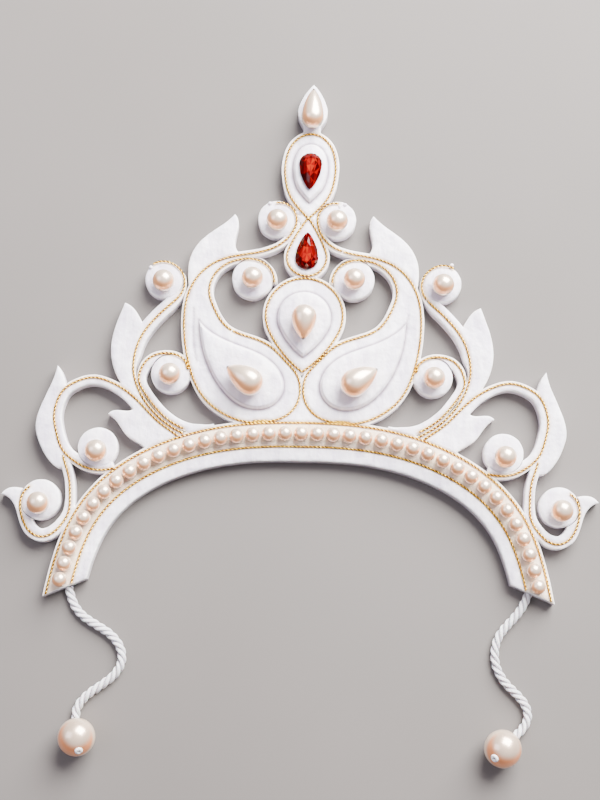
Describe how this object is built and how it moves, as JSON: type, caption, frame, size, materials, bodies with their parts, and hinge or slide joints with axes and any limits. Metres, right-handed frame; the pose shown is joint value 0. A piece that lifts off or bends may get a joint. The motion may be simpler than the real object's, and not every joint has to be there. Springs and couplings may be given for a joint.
{
  "type": "mukut crown",
  "caption": "Bridal mukut crown cut from white pith, with scrolls, paisleys, pearls, red stones, gold cord outlines and two tie cords.",
  "frame": {"origin": "middle of the crown's back, on the surface that it lies on", "axes": "+X to the crown's right side as seen, +Y towards the finial, +Z out of the crown's face"},
  "size_m": [0.236, 0.2766, 0.0187],
  "materials": {
    "pith": "white shola pith, soft matt with a faint satin",
    "pearl": "cream and peach imitation pearl, nacre gloss",
    "tie_pearl": "cream and peach imitation pearl, nacre gloss",
    "red_stone": "foil-backed red pear cut, clear gloss",
    "zari": "two-ply twisted gold thread",
    "tie_cord": "white three-strand twisted cotton cord"
  },
  "bodies": {
    "root": {"band": "pith", "band_pearls": "pearl", "band_zari": "zari", "centre_drop": "pith", "centre_pad": "pith", "centre_pearl": "pearl", "finial": "pith", "finial_pearl": "pearl", "left_curl_disc": "pith", "left_curl_pearl": "pearl", "left_loop_disc": "pith", "left_loop_pearl": "pearl", "left_loop_scroll": "pith", "left_middle_disc": "pith", "left_middle_pearl": "pearl", "left_middle_scroll": "pith", "left_outer_disc": "pith", "left_outer_pearl": "pearl", "left_outer_scroll": "pith", "left_paisley": "pith", "left_paisley_pad": "pith", "left_paisley_pearl": "pearl", "left_small_disc": "pith", "left_small_pearl": "pearl", "left_small_scroll": "pith", "left_tie": "tie_cord", "left_tie_pearl": "tie_pearl", "left_upper_disc": "pith", "left_upper_pearl": "pearl", "left_zari": "zari", "lower_stone": "red_stone", "middle_zari": "zari", "right_curl_disc": "pith", "right_curl_pearl": "pearl", "right_loop_disc": "pith", "right_loop_pearl": "pearl", "right_loop_scroll": "pith", "right_middle_disc": "pith", "right_middle_pearl": "pearl", "right_middle_scroll": "pith", "right_outer_disc": "pith", "right_outer_pearl": "pearl", "right_outer_scroll": "pith", "right_paisley": "pith", "right_paisley_pad": "pith", "right_paisley_pearl": "pearl", "right_small_disc": "pith", "right_small_pearl": "pearl", "right_small_scroll": "pith", "right_tie": "tie_cord", "right_tie_pearl": "tie_pearl", "right_upper_disc": "pith", "right_upper_pearl": "pearl", "right_zari": "zari", "stone_pad": "pith", "stone_plate": "pith", "upper_stone": "red_stone"}
  },
  "joints": []
}
